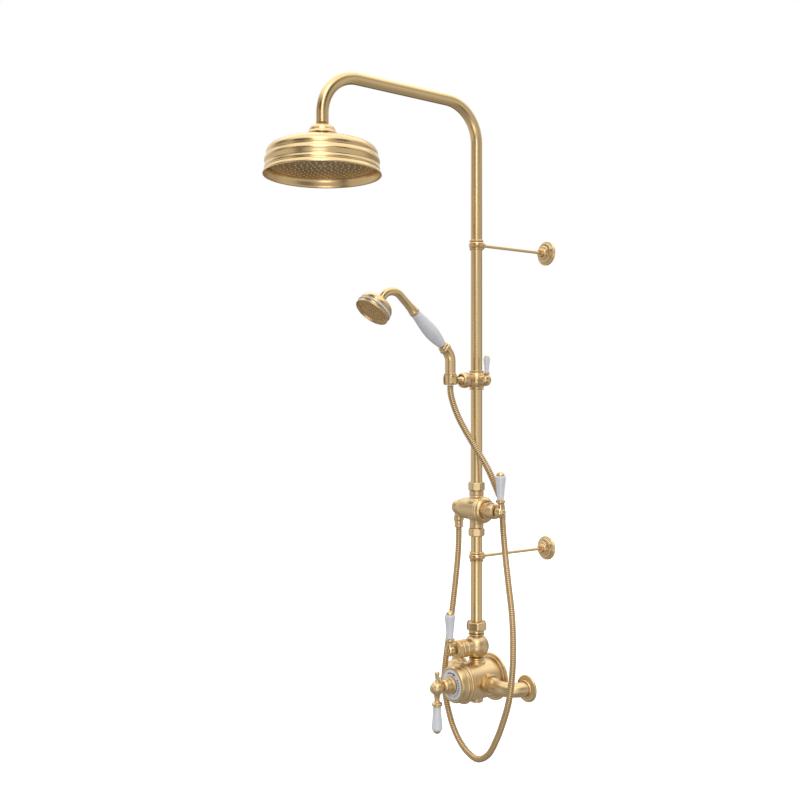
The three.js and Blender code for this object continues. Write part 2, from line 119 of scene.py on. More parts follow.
def make_camera():
    """At the photograph's viewing angle, level with the riser's middle."""
    eye = Vector((1.426, -1.243, 0.538))
    azimuth = math.radians(VIEW_AZIMUTH)
    data = bpy.data.cameras.new("camera")
    data.sensor_width = 36
    data.lens = 43.47
    camera = bpy.data.objects.new("camera", data)
    camera.location = eye
    ahead = Vector((-math.sin(azimuth), math.cos(azimuth), 0))
    camera.rotation_euler = ahead.to_track_quat("-Z", "Y").to_euler()
    bpy.context.scene.collection.objects.link(camera)
    bpy.context.scene.camera = camera


# ---- Shape tools ----

class Shape:
    """Points with their own normals, and faces with a UV for each corner."""

    def __init__(self):
        self.points, self.normals, self.faces, self.uvs = [], [], [], []

    def take(self, other):
        first = len(self.points)
        self.points += other.points
        self.normals += other.normals
        self.faces += [[first + i for i in face] for face in other.faces]
        self.uvs += other.uvs


def skin(rings, normals=None, lengths=None, wrap=False, round_length=None):
    """A surface over rings of points. A ring of one point is a pole. With `wrap` the last ring meets the first."""
    shape = Shape()
    starts = []
    for ring in rings:
        starts.append(len(shape.points))
        shape.points += ring
    sides = max(len(ring) for ring in rings)
    around = round_length or 1
    if lengths is None:
        lengths = [0]
        for one, two in zip(rings, rings[1:]):
            lengths.append(lengths[-1] + (two[0] - one[0]).length)
    pairs = [(i, i + 1) for i in range(len(rings) - 1)]
    if wrap:
        pairs.append((len(rings) - 1, 0))
    for a, b in pairs:
        va = lengths[a]
        vb = lengths[b] if b > a else lengths[a] + (rings[b][0] - rings[a][0]).length
        for i in range(sides):
            j = (i + 1) % sides
            u0, u1 = around * i / sides, around * (i + 1) / sides
            corners = []
            for ring, index, u, v in ((a, i, u0, va), (a, j, u1, va), (b, j, u1, vb), (b, i, u0, vb)):
                vertex = starts[ring] + (index if len(rings[ring]) > 1 else 0)
                if vertex not in [c[0] for c in corners]:
                    corners.append((vertex, (u, v)))
            if len(corners) > 2:
                shape.faces.append([c[0] for c in corners])
                shape.uvs.append([c[1] for c in corners])
    shape.normals = [n for ring in normals for n in ring] if normals else averaged(shape)
    return shape


def averaged(shape):
    """Each point's normal as the mean of its faces'."""
    sums = [Vector() for _ in shape.points]
    for face in shape.faces:
        p = [shape.points[i] for i in face]
        normal = (p[1] - p[0]).cross(p[2] - p[0])
        if len(p) == 4:
            normal += (p[2] - p[0]).cross(p[3] - p[0])
        for i in face:
            sums[i] += normal
    return [s.normalized() for s in sums]


def arc(r, h, radius, start, stop, steps=12):
    """Outline points on an arc, its angles in degrees."""
    angles = [math.radians(start + (stop - start) * i / steps) for i in range(steps + 1)]
    return [(r + radius * math.cos(a), h + radius * math.sin(a)) for a in angles]


def flowing(points, steps=6):
    """Outline points on one smooth curve through the given ones."""
    p = [Vector(q) for q in points]
    p = [2 * p[0] - p[1]] + p + [2 * p[-1] - p[-2]]
    out = []
    for a, b, c, d in zip(p, p[1:], p[2:], p[3:]):
        for k in range(steps):
            t = k / steps
            curved = (2 * a - 5 * b + 4 * c - d) * t**2 + (3 * b - a - 3 * c + d) * t**3
            out.append(0.5 * (2 * b + (c - a) * t + curved))
    out.append(p[-2])
    return [tuple(q) for q in out]


def softened(outline, radius, closed):
    """The outline with its corners rounded, as (point, normal) pairs. A slight bend is smoothed, not rounded."""
    points = [Vector(p) for p in outline]
    count = len(points)
    out = []
    for i, p in enumerate(points):
        if not closed and i in (0, count - 1):
            step = (points[1] - p) if i == 0 else (p - points[i - 1])
            normal = Vector((step.y, -step.x)).normalized()
            if p.x < ON_AXIS:
                normal = Vector((0, math.copysign(1, normal.y)))
            out.append((p, normal))
            continue
        before, after = p - points[i - 1], points[(i + 1) % count] - p
        if before.length < ON_AXIS or after.length < ON_AXIS:
            continue
        n0 = Vector((before.y, -before.x)).normalized()
        n1 = Vector((after.y, -after.x)).normalized()
        turn = before.angle(after)
        if turn < math.radians(22):
            out.append((p, (n0 + n1).normalized()))
            continue
        reach = min(radius * math.tan(min(turn, 2.6) / 2), 0.45 * before.length, 0.45 * after.length)
        start, stop = p - before.normalized() * reach, p + after.normalized() * reach
        steps = max(2, math.ceil(turn / math.radians(24)))
        for k in range(steps + 1):
            t = k / steps
            spot = start * (1 - t) ** 2 + p * 2 * t * (1 - t) + stop * t**2
            out.append((spot, n0.lerp(n1, t).normalized()))
    return out


def turned(outline, at, along=Z, sides=72, soft=0.5):
    """A solid of revolution about `along` through `at`. Its outline is (radius, height) points, and runs from the
    axis to the axis, anticlockwise as seen with the axis at the left, or closes on itself as a ring."""
    closed = outline[0][0] > ON_AXIS
    area = sum(a[0] * b[1] - b[0] * a[1] for a, b in zip(outline, outline[1:] + outline[:1]))
    if area < 0:
        outline = outline[::-1]
    turn = Z.rotation_difference(along)
    rings, normals, lengths, run, last = [], [], [], 0, None
    for p, n in softened(outline, soft, closed):
        run += (p - last).length if last else 0
        last = p
        lengths.append(run)
        if p.x < ON_AXIS:
            rings.append([at + turn @ Vector((0, 0, p.y))])
            normals.append([turn @ Vector((0, 0, math.copysign(1, n.y)))])
            continue
        spokes = [(math.cos(a), math.sin(a)) for a in (2 * math.pi * i / sides for i in range(sides))]
        rings.append([at + turn @ Vector((p.x * c, p.x * s, p.y)) for c, s in spokes])
        normals.append([turn @ Vector((n.x * c, n.x * s, n.y)) for c, s in spokes])
    widest = max(p[0] for p in outline)
    return skin(rings, normals, lengths, closed, 2 * math.pi * widest)


def nut(corner, start, stop, at, along=Z, bevel=2.2, sides=120, bore=0, turn_by=0, crisp=34):
    """A six-sided nut with round corners and turned chamfers, closed on the axis or open round a bore."""
    turn = Z.rotation_difference(along)
    flat = corner * math.cos(math.pi / 6)
    inner = max(bore, 0.01)
    steps = 7
    profile = [(inner, start), (flat * 0.9, start)]
    profile += [(corner - bevel * (1 - math.sin(math.pi / 2 * k / steps)),
                 start + bevel * 0.8 * (1 - math.cos(math.pi / 2 * k / steps))) for k in range(steps + 1)]
    profile += [(corner - bevel * (1 - math.sin(math.pi / 2 * k / steps)),
                 stop - bevel * 0.8 * (1 - math.cos(math.pi / 2 * k / steps))) for k in range(steps, -1,
                                                                                              -1)]
    profile += [(flat * 0.9, stop), (inner, stop)]
    rings = []
    for r, h in profile:
        ring = []
        for i in range(sides):
            a = 2 * math.pi * i / sides
            total = sum(max(0, math.cos(a - turn_by - k * math.pi / 3)) ** crisp for k in range(6))
            total += (flat / r) ** crisp
            limit = min(r, flat * total ** (-1 / crisp))
            ring.append(at + turn @ Vector((limit * math.cos(a), limit * math.sin(a), h)))
        rings.append(ring)
    return skin(rings, None, None, bore > 0, 2 * math.pi * corner)


def frames(path):
    """A (point, side, up, ahead) for each point of a path, its section carried along without twisting."""
    out = []
    side = None
    for i, p in enumerate(path):
        ahead = (path[min(i + 1, len(path) - 1)] - path[max(i - 1, 0)]).normalized()
        if side is None:
            side = X if abs(ahead.x) < 0.9 else Y
        side = (side - ahead * side.dot(ahead)).normalized()
        out.append((p, side, ahead.cross(side), ahead))
    return out


def tube(path, radius, sides=48, lip=0.5):
    """A round bar along a path, its ends rounded over by `lip`. `radius` is a number, or a list with one for each
    point."""
    radii = radius if isinstance(radius, list) else [radius] * len(path)
    stations = [(f, r, 0, 0) for f, r in zip(frames(path), radii)]
    ends = [math.radians(a) for a in (30, 60, 90)]
    head, foot = stations[0], stations[-1]
    def rounded(end, angle, way):
        return end[0], end[1] - lip * (1 - math.cos(angle)), way * lip * math.sin(angle), way * angle

    opening = [rounded(head, a, -1) for a in reversed(ends)]
    stations = [*opening, *stations, *(rounded(foot, a, 1) for a in ends)]
    angles = [2 * math.pi * i / sides for i in range(sides)]
    rings, normals = [], []
    for (p, side, up, ahead), r, shift, lean in stations:
        spokes = [side * math.cos(a) + up * math.sin(a) for a in angles]
        rings.append([p + ahead * shift + s * r for s in spokes])
        normals.append([s * math.cos(lean) + ahead * math.sin(lean) for s in spokes])
    (p0, _, _, a0), (p1, _, _, a1) = stations[0][0], stations[-1][0]
    rings = [[p0 - a0 * lip]] + rings + [[p1 + a1 * lip]]
    normals = [[-a0]] + normals + [[a1]]
    lengths = [0]
    for one, two in zip(rings, rings[1:]):
        lengths.append(lengths[-1] + (sum(two, Vector()) / len(two) - sum(one, Vector()) / len(one)).length)
    return skin(rings, normals, lengths, False, 2 * math.pi * max(radii))


def plumb(start, heading, axis, legs, step=4):
    """Points along straight runs and round bends in one plane. Each leg is (straight length, bend radius, bend
    angle in degrees about `axis`)."""
    at, ahead = start.copy(), heading.normalized()
    points = [at.copy()]
    for straight, radius, angle in legs:
        if straight:
            at = at + ahead * straight
            points.append(at.copy())
        if angle:
            centre = at + axis.cross(ahead) * radius * math.copysign(1, angle)
            steps = max(4, math.ceil(abs(angle) / step))
            turn = Quaternion(axis, math.radians(angle / steps))
            for _ in range(steps):
                at = centre + turn @ (at - centre)
                ahead = turn @ ahead
                points.append(at.copy())
    return points


def box(size, at, right, up, soft=0.1):
    """A small slab with its edges taken off: `size` along right, up and the way it faces."""
    facing = right.cross(up)
    w, h, d = (s / 2 for s in size)
    rings = []
    for inset, depth in ((soft, -d), (0, -d + soft), (0, d - soft), (soft, d)):
        corners = ((w - inset, h - inset), (-w + inset, h - inset), (-w + inset, -h + inset),
                   (w - inset, -h + inset))
        rings.append([at + right * a + up * b + facing * depth for a, b in corners])
    rings = [[at - facing * d]] + rings + [[at + facing * d]]
    return skin(rings)


# ---- Pieces ----

def piece(name, body, shapes, material, nodes=(), own_normals=True):
    """A mesh object made of one or more shapes, riding on its body."""
    whole = Shape()
    for shape in shapes:
        whole.take(shape)
    mesh = bpy.data.meshes.new(name)
    mesh.from_pydata([p * MM for p in whole.points], [], whole.faces)
    layer = mesh.uv_layers.new(name="run")
    flat = [u for face in whole.uvs for uv in face for u in uv]
    layer.data.foreach_set("uv", flat)
    mesh.polygons.foreach_set("use_smooth", [True] * len(mesh.polygons))
    if own_normals:
        mesh.normals_split_custom_set_from_vertices([tuple(n) for n in whole.normals])
    mesh.materials.append(material)
    made = bpy.data.objects.new(name, mesh)
    bpy.context.scene.collection.objects.link(made)
    if body:
        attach(made, body)
    if nodes:
        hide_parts(*nodes)
    return made


def fine(node, shapes, material):
    """The detailed piece that stands for a CAD node."""
    return piece(f"{node}_fine", BODY_OF[node], shapes, material, [node])


# ---- Materials ----

class Nodes:
    """A short way to write a node tree."""

    def __init__(self, tree):
        self.tree = tree
        tree.nodes.clear()

    def add(self, kind, inputs=(), **settings):
        """A shader node with its inputs linked or set. `kind` is its type without the ShaderNode in front."""
        node = self.tree.nodes.new("ShaderNode" + kind)
        for key, value in settings.items():
            setattr(node, key, value)
        for key, value in dict(inputs).items():
            if isinstance(value, bpy.types.NodeSocket):
                self.tree.links.new(value, node.inputs[key])
            else:
                node.inputs[key].default_value = value
        return node


def grain(nodes, coordinates, scale, detail=3, rough=0.6):
    mapping = nodes.add("Mapping", {"Vector": coordinates, "Scale": scale})
    noise = nodes.add("TexNoise",
                      {"Vector": mapping.outputs["Vector"], "Scale": 1, "Detail": detail,
            "Roughness": rough})
    return noise.outputs["Fac"]


def spread(nodes, value, low, high):
    """A noise's middle range as numbers from low to high."""
    return nodes.add("MapRange", {"Value": value, "From Min": 0.3, "From Max": 0.7, "To Min": low,
            "To Max": high}).outputs["Result"]


def new_material(name):
    """A material with an empty node tree, its writer and its texture coordinates."""
    material = bpy.data.materials.new(name)
    material.use_nodes = True
    nodes = Nodes(material.node_tree)
    return material, nodes, nodes.add("TexCoord")


def mixed(nodes, share, dark, light):
    """A colour between two, by a share from 0 to 1."""
    colour = nodes.add("Mix", {"Factor": share}, data_type="RGBA")
    colour.inputs["A"].default_value = (*dark, 1)
    colour.inputs["B"].default_value = (*light, 1)
    return colour.outputs["Result"]


def surface(nodes, inputs):
    shader = nodes.add("BsdfPrincipled", inputs)
    nodes.add("OutputMaterial", {"Surface": shader.outputs["BSDF"]})


def metal(name, dark, light, rough, brush, bump, from_uv=True, ribs=0):
    """Brushed metal: fine lines that run round a turned piece, in its roughness, its height and a little in its
    colour, and a slow cloudiness from the plating."""
    material, nodes, place = new_material(name)
    if from_uv:
        lines = grain(nodes, place.outputs["UV"], (0.11, brush, 1))
    else:
        lines = grain(nodes, place.outputs["Object"], (brush * 180, brush * 180, brush * 1400))
    cloud = grain(nodes, place.outputs["Object"], (28, 28, 28), 2)
    both = nodes.add("Mix", {"Factor": 0.35, "A": cloud, "B": lines}, data_type="FLOAT")
    shade = mixed(nodes, spread(nodes, both.outputs["Result"], 0, 1), dark, light)
    # With ribs, painted shade darkens the gaps between a hose's ribs.
    if ribs:
        shade = grooved(nodes, place.outputs["UV"], shade, ribs)
    height = nodes.add("Bump", {"Height": lines, "Strength": bump, "Distance": 0.00006})
    surface(nodes, {
        "Base Color": shade,
        "Metallic": 1,
        "Roughness": spread(nodes, lines, rough - 0.02, rough + 0.02),
        "Normal": height.outputs["Normal"],
    })
    return material


def grooved(nodes, uv, shade, pitch):
    """The colour, with painted shade darkening the helical gap between a hose's ribs."""
    split = nodes.add("SeparateXYZ", {0: uv})
    round_hose = math.pi * HOSE_D / MM
    around = nodes.add("Math", {0: split.outputs["X"], 1: 1 / round_hose}, operation="MULTIPLY")
    terms = {0: split.outputs["Y"], 1: 1 / pitch, 2: around.outputs[0]}
    turns = nodes.add("Math", terms, operation="MULTIPLY_ADD")
    across = nodes.add("Math", {0: turns.outputs[0], 1: 0.5}, operation="PINGPONG")
    gap = nodes.add("MapRange", {"Value": across.outputs[0], "From Min": 0.17, "From Max": 0.06})
    # Painted shade: a dark brown laid into the gap between the ribs.
    painted_gap_shade = nodes.add("Mix", {"Factor": gap.outputs["Result"], "A": shade}, data_type="RGBA")
    painted_gap_shade.inputs["B"].default_value = (0.20, 0.125, 0.055, 1)
    return painted_gap_shade.outputs["Result"]


def glazed(name, dark, light):
    """White ceramic under a clear glaze that pools a little and is not quite even."""
    material, nodes, coordinates = new_material(name)
    place = coordinates.outputs["Object"]
    cloud = grain(nodes, place, (60, 60, 60), 3)
    speck = grain(nodes, place, (900, 900, 900), 1)
    colour = mixed(nodes, spread(nodes, cloud, 0, 1), dark, light)
    peel = grain(nodes, place, (240, 240, 240), 2)
    height = nodes.add("Bump", {"Height": peel, "Strength": 0.04, "Distance": 0.0001})
    surface(nodes, {
        "Base Color": colour,
        "Roughness": spread(nodes, speck, 0.13, 0.19),
        "IOR": 1.52,
        "Coat Weight": 0.5,
        "Coat Roughness": 0.05,
        "Normal": height.outputs["Normal"],
    })
    return material


def moulded(name, dark, light, rough):
    """Plain plastic, rubber or fired ink, with a fine moulded texture."""
    material, nodes, coordinates = new_material(name)
    place = coordinates.outputs["Object"]
    cloud = grain(nodes, place, (180, 180, 180), 3)
    pores = grain(nodes, place, (2400, 2400, 2400), 2)
    colour = mixed(nodes, spread(nodes, cloud, 0, 1), dark, light)
    height = nodes.add("Bump", {"Height": pores, "Strength": 0.2, "Distance": 0.00005})
    surface(nodes, {
        "Base Color": colour,
        "Roughness": spread(nodes, pores, rough - 0.06, rough + 0.06),
        "Normal": height.outputs["Normal"],
    })
    return material


BRASS = metal("brushed_brass", (0.73, 0.525, 0.268), (0.77, 0.555, 0.29), 0.24, 5.0, 0.08)
CAST_BRASS = metal("cast_brass", (0.72, 0.53, 0.285), (0.76, 0.56, 0.305), 0.36, 5.0, 0.08)
# Its ribs paint shade into the gaps between the hose's ribs.
HOSE_BRASS = metal("hose_brass", (0.72, 0.50, 0.26), (0.77, 0.54, 0.29), 0.30, 3.0, 0.08, ribs=3.75)
PLATE_BRASS = metal("spray_plate_brass", (0.63, 0.45, 0.235), (0.69, 0.495, 0.26), 0.36, 1.6, 0.15)
# Painted shade: a near-black brass for the set screws in their sockets and for the nozzle holes, standing in for
# the shade inside them.
PAINTED_SHADE_BRASS = metal("shaded_brass", (0.20, 0.12, 0.05), (0.28, 0.175, 0.075), 0.5, 2.0, 0.2)
RAW_BRASS = metal("machined_brass", (0.60, 0.43, 0.17), (0.70, 0.51, 0.22), 0.38, 1.0, 0.3, from_uv=False)
CERAMIC = glazed("white_ceramic", (0.74, 0.745, 0.785), (0.78, 0.782, 0.815))
NYLON = moulded("white_nylon", (0.76, 0.75, 0.69), (0.82, 0.81, 0.75), 0.5)
INK = moulded("fired_ink", (0.02, 0.02, 0.024), (0.045, 0.045, 0.05), 0.4)


# ---- Hose ----

# In metres, from the diverter's outlet, under the mixer, up beside the riser and in front of it to the cradle.
HOSE_ROUTE = [Vector((x, y - 0.041, z)) for x, y, z in [
    (-0.054, 0, 0.298), (-0.054, 0, 0.272), (-0.054, -0.0016, 0.240), (-0.0542, -0.006, 0.200),
    (-0.055, -0.0116, 0.155), (-0.056, -0.018, 0.108), (-0.0578, -0.0245, 0.062), (-0.059, -0.030, 0.022),
    (-0.0588, -0.033, -0.012), (-0.055, -0.0315, -0.043), (-0.047, -0.030, -0.070),
    (-0.035, -0.0294, -0.094),
    (-0.017, -0.0286, -0.116), (0.005, -0.0276, -0.131), (0.033, -0.026, -0.1376), (0.061, -0.024, -0.122),
    (0.083, -0.022, -0.088), (0.101, -0.020, -0.047), (0.1126, -0.018, -0.010), (0.1164, -0.014, 0.033),
    (0.115, -0.010, 0.080), (0.1046, -0.003, 0.138), (0.083, 0.007, 0.198), (0.0664, 0.015, 0.242),
    (0.055, 0.0206, 0.280), (0.0504, 0.0224, 0.304), (0.0494, 0.0224, 0.328), (0.0484, 0.018, 0.350),
    (0.046, 0.0076, 0.376), (0.0434, -0.004, 0.401), (0.037, -0.0124, 0.421), (0.0276, -0.0204, 0.441),
    (0.019, -0.029, 0.461), (0.0116, -0.038, 0.481), (0.006, -0.047, 0.501), (0.0024, -0.0554, 0.522),
    (0.0004, -0.062, 0.543), (0, -0.0644, 0.556), (0, -0.0645, 0.566)]]


def smooth_route(points, spacing):
    """Points a fixed distance apart on a centripetal curve through the given ones."""
    p = [2 * points[0] - points[1]] + points + [2 * points[-1] - points[-2]]
    dense = []
    for a, b, c, d in zip(p, p[1:], p[2:], p[3:]):
        t0 = 0
        t1 = t0 + (b - a).length ** 0.5
        t2 = t1 + (c - b).length ** 0.5
        t3 = t2 + (d - c).length ** 0.5
        for k in range(40):
            t = t1 + (t2 - t1) * k / 40
            a1 = a * ((t1 - t) / (t1 - t0)) + b * ((t - t0) / (t1 - t0))
            a2 = b * ((t2 - t) / (t2 - t1)) + c * ((t - t1) / (t2 - t1))
            a3 = c * ((t3 - t) / (t3 - t2)) + d * ((t - t2) / (t3 - t2))
            b1 = a1 * ((t2 - t) / (t2 - t0)) + a2 * ((t - t0) / (t2 - t0))
            b2 = a2 * ((t3 - t) / (t3 - t1)) + a3 * ((t - t1) / (t3 - t1))
            dense.append(b1 * ((t2 - t) / (t2 - t1)) + b2 * ((t - t1) / (t2 - t1)))
    dense.append(points[-1].copy())
    out, need = [dense[0].copy()], spacing
    for one, two in zip(dense, dense[1:]):
        gap = (two - one).length
        while need <= gap:
            out.append(one.lerp(two, need / gap))
            need += spacing
        need -= gap
    return out


def hose():
    """Four lengths of one interlocked metal hose on the way to the handset."""
    ribs_apart = 0.00375
    rings_a_rib = 8
    sides = 16
    depth = 0.001
    path = smooth_route(HOSE_ROUTE, ribs_apart / rings_a_rib)
    stations = frames(path)
    rings = []
    for i, (p, side, up, _) in enumerate(stations):
        ring = []
        for k in range(sides):
            a = 2 * math.pi * k / sides
            off = abs(2 * ((i / rings_a_rib + k / sides) % 1) - 1)
            r = HOSE_D / 2 - depth * (0.2 * off**2 + 0.8 * max(0, (off - 0.45) / 0.55) ** 1.5)
            ring.append((p + (side * math.cos(a) + up * math.sin(a)) * r) / MM)
        rings.append(ring)
    widest = max(range(len(path)), key=lambda i: path[i].x)
    above = [next(i for i in range(widest, len(path)) if path[i].z > z) for z in (0.40, 0.485)]
    stops = [0, widest, *above, len(path) - 1]
    links = [
        ("hose_loop", "column", "liner", (-0.056, 0, 0), (0.112, 0, 0)),
        ("hose_rise", "liner", "slider", (0, 0, 0.25), (0, 0, 0.39)),
        ("hose_bend", "slider", "cradle", (0, 0, 0.41), (0, 0, 0.475)),
        ("hose_top", "cradle", "handset", (0, 0, 0.495), (0, 0, 0.562)),
    ]
    made = []
    for (name, one, two, start, stop), first, last in zip(links, stops, stops[1:]):
        part = rings[first:last + 1]
        inside = [[path[first] / MM], *part, [path[last] / MM]]
        lengths = [(first + i) * ribs_apart / rings_a_rib / MM for i in range(-1, len(part) + 1)]
        shape = skin(inside, None, lengths, False, math.pi * HOSE_D / MM)
        nodes = ["hose"] if not made else []
        cord = piece(name, None, [shape], HOSE_BRASS, nodes, own_normals=False)
        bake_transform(cord)
        made.append(cord)


# ---- Riser, arm and stays ----

def grub_screw(at, outward, r=2.2):
    """A set screw's end with its hexagon socket, sunk a little below the surface round it."""
    rim = [(r * 0.55, -0.9), (r * 0.55, -0.1), (r * 0.8, 0.15), (r, 0), (r, -1.2), (r * 0.55, -1.2)]
    floor = [(0, -1.1), (r * 0.56, -1.1), (r * 0.56, -0.85), (0, -0.85)]
    return turned(rim, at, outward, 24, 0.1), turned(floor, at, outward, 6, 0.05)


def riser():
    foot, top = span("riser_arm")
    arm_z = top.z - TUBE_R
    reach = RISER_Y - BALL.y
    bend = 72
    path = plumb(Vector((0, RISER_Y, foot.z)), Z, X, [
        (arm_z - bend - foot.z, bend, 90), (reach - 2 * bend, bend, 90),
        (arm_z - bend - BALL.z - 20.7, 0, 0)])
    fine("riser_arm", [tube(path, TUBE_R, 56)], BRASS)
    low, high = span("lower_riser")
    straight = [Vector((0, RISER_Y, low.z)), Vector((0, RISER_Y, high.z))]
    fine("lower_riser", [tube(straight, TUBE_R, 56)], BRASS)
    base = Vector((0, RISER_Y, span("riser_base_nut")[0].z))
    height = span("riser_base_nut")[1].z - base.z
    foot = 5.4
    fine("riser_base_nut", [
        nut(21.2, foot, height - 0.5, base, bevel=6.2, bore=11.4, crisp=20),
        turned([(11.3, 0), (12.8, 0), (14.2, 1.2), (14.4, 3.4), (14.2, foot + 1), (11.3, foot + 1)], base),
        turned([(11.3, height - 4), (14.6, height - 4), (14.6, height - 0.4), (13, height), (11.3, height)],
               base),
    ], BRASS)


def stays():
    for level in ("upper", "lower"):
        centre = Vector((0, RISER_Y, middle(f"stay_rod_{level}").z))
        back = span(f"stay_rose_{level}")[1].y - RISER_Y
        collar = [(11.3, -9.2), (12.5, -9.6), (13.3, -8.8), (13.2, -7.4), (13.9, -6.6), *arc(8.2, 0, 6.7,
                                                                                             -68, 68, 12),
                  (13.9, 6.6), (13.2, 7.4), (13.3, 8.8), (12.5, 9.6), (11.3, 9.2)]
        socket = [(0, 12), (5.6, 12), (6.9, 14.6), (6.4, 17.4), (4.8, 19), (3.2, 19), (3.2, 18), (0, 18)]
        fine(f"stay_collar_{level}", [
            turned(collar, centre, Z, 72, 0.4), turned(socket, centre, Y, 40, 0.4),
        ], BRASS)
        rod = [centre + Y * 12.6, centre + Y * (back - 0.6)]
        fine(f"stay_rod_{level}", [tube(rod, 3, 32)], BRASS)
        rose = [(3.3, back - 21.2), (6.9, back - 21.2), (8.4, back - 20), (8.4, back - 14.8),
                (9.4, back - 13.6),
                (11.2, back - 13), (11.8, back - 11.2), *arc(17.6, back - 15.2, 6.0, 148, 88, 6)[1:],
                (18.8, back - 9.0), (19.6, back - 6.6), (21.2, back - 6.0), (21.8, back - 4.8),
                (23.3, back - 4.4),
                (24, back - 3.4), (24, back - 0.4), (23.6, back), (3.3, back)]
        fine(f"stay_rose_{level}", [turned(rose, centre, Y, 72, 0.4)], BRASS)
        screws = grub_screw(centre + TOWARD_ROOM * 14.7, TOWARD_ROOM)
        piece(f"collar_screw_{level}", "column", screws, PAINTED_SHADE_BRASS)
        sides = [X * math.cos(a) + Z * math.sin(a) for a in (math.radians(38), math.radians(-142))]
        hub = [s for way in sides for s in grub_screw(centre + Y * (back - 17.4) + way * 8.3, way, 1.7)]
        piece(f"rose_screws_{level}", f"wall_rose_{level}", hub, PAINTED_SHADE_BRASS)


# ---- Overhead rose ----

def nozzles(centre, rings, r, height, facing, sides=10):
    """Spray nozzles on a plate in rings of (radius, how many): each a small cone with a hole in its end."""
    side = facing.orthogonal().normalized()
    other = facing.cross(side)
    cone = [(r * 0.45, -0.3), (r, -0.3), (r * 0.72, height), (r * 0.45, height)]
    hole = [(0, -0.3), (r * 0.46, -0.3), (r * 0.46, height * 0.35), (0, height * 0.35)]
    cones, holes = [], []
    for row, (radius, count) in enumerate(rings):
        for k in range(count):
            a = 2 * math.pi * (k + 0.5 * (row % 2)) / count
            at = centre + (side * math.cos(a) + other * math.sin(a)) * radius
            cones.append(turned(cone, at, facing, sides, 0.12))
            holes.append(turned(hole, at, facing, 8, 0.02))
    return cones, holes


def rain_rose():
    dome = [(8.6, 12.6), (9.6, 1.0), (15.2, -0.4), (24.8, -0.4), (25.8, 0.2), (26.2, 1.3), (25.7, 2.6),
            *flowing([(24.9, 3.5), (23.9, 4.9), (23.3, 6.6), (22.7, 8.8), (21.5, 11.4), (19.6, 13.4),
                      (17.2, 15.0), (14.6, 16.1), (12.6, 16.6)], 4),
            (11.6, 16.7), (10.9, 16.3)]
    fine("rose_nut", [turned(dome, BALL, Z, 96, 0.3)], BRASS)
    lip = [(100.6, 0.0), (101.8, 0.1), (102.2, 1.0), (102.1, 2.2), (101.2, 4.4), (99.9, 6.2), (99.2, 7.4)]
    low_swell = [(99.1, 8.2), (99.5, 9.8), (99.4, 11.4), (98.8, 13.2), (98.1, 14.9), (97.9, 16.2)]
    high_swell = [(98.0, 17.2), (98.5, 19.4), (99.1, 22.0), (99.3, 24.4), (98.8, 26.6), (97.7, 29),
                  (96.5, 31.2), (96.0, 32.6)]
    crown = [(95.9, 33.6), (96.1, 35.6), (95.9, 38), (95.2, 40.6), (93.8, 43.2), (91.4, 46.2), (87.8, 48.9),
             (83, 51.3),
             (76.4, 53.6), (69, 55.6), (57, 58.6), (42.6, 61.8), (32, 64.1), (26, 65.0)]
    outside = [point for part in (lip, low_swell, high_swell, crown) for point in flowing(part, 3)]
    inside = [(15.3, 63.2), (42, 59.8), (68, 53.8), (81, 49.8), (88, 46.4), (93, 40), (94.2, 30), (96, 21),
              (96.2, 15),
              (96.6, 12), (97.7, 9), (99.3, 5.4), (100.6, 2.2), (100.7, 1.2), (100.3, 0.6)]
    shell = [*outside, (15.3, 65.1), *inside]
    fine("rose_shell", [turned(shell, RIM, Z, 192, 0.25)], BRASS)
    depth = span("rose_plate")[0].z - RIM.z
    plate = [(0, depth), (60, depth - 0.1), (90.5, depth), (92.2, depth - 0.9), (95.2, depth - 0.7),
             (95.2, depth + 2.2), (0, depth + 2.2)]
    fine("rose_plate", [turned(plate, RIM, Z, 128, 0.3)], PLATE_BRASS)
    nozzles_apart = 12.4
    ring_radii = [6 + 10.2 * i for i in range(9)]
    rings = [(r, max(6, round(r * 2 * math.pi / nozzles_apart))) for r in ring_radii]
    cones, holes = nozzles(RIM + Z * depth, rings, 2.2, 1.6, DOWN)
    piece("rose_nozzles", "rain_rose", cones, PLATE_BRASS)
    piece("rose_nozzle_holes", "rain_rose", holes, PAINTED_SHADE_BRASS)


# ---- Lever handles ----

def lever(name, at, axis, up, scale=1.0, extra=()):
    """A round hub with a front button, a conical stem and a collar, then the ceramic grip and its screwed tip."""
    def s(outline):
        return [(r * scale, h * scale) for r, h in outline]

    hub = [(0, -9.6), (7.6, -9.6), (8.2, -8.8), *arc(0, -1.2, 10.7, -40, 38, 12), (7.2, 6.4), (5.9, 7.2),
           (5.7, 8.6),
           *arc(0, 2.5, 8.3, 47, 90, 6)]
    stem = [(0, 2), (7.8, 5.6), (6.4, 8.4), (5.2, 12.2), (4.8, 15.4), (5.8, 16.9), (7.7, 17.8), (9.2, 18.8),
            (9.3, 19.8),
            (8.6, 20.4), (8.6, 20.8), (9.3, 21.4), (9.3, 22.4), (8.7, 23.0), (0, 23.0)]
    fine(f"{name}_hub", [
        turned(s(hub), at, axis, 64, 0.4), turned(s(stem), at, up, 56, 0.35), *extra,
    ], BRASS)
    grip = [(0, 23.2), (6.2, 23.2), *flowing([(6.6, 23.7), (6.6, 28), (7.1, 36), (8.0, 46), (9.2, 56.6),
            (10.0, 63), (9.9, 66), (8.8, 68)]),
            (7.6, 68.4), (0, 68.4)]
    fine(f"{name}_grip", [turned(s(grip), at, up, 64, 0.4)], CERAMIC)
    tip = [(0, 68.4), (7.7, 68.4), (7.9, 69.2), (7.6, 70.6), *flowing([(7.2, 71.0), (6.0, 72.9),
            (4.0, 74.6), (2.0, 75.5),
            (0, 75.8)])]
    fine(f"{name}_tip", [turned(s(tip), at, up, 48, 0.3)], BRASS)


# ---- Thermostatic mixer ----

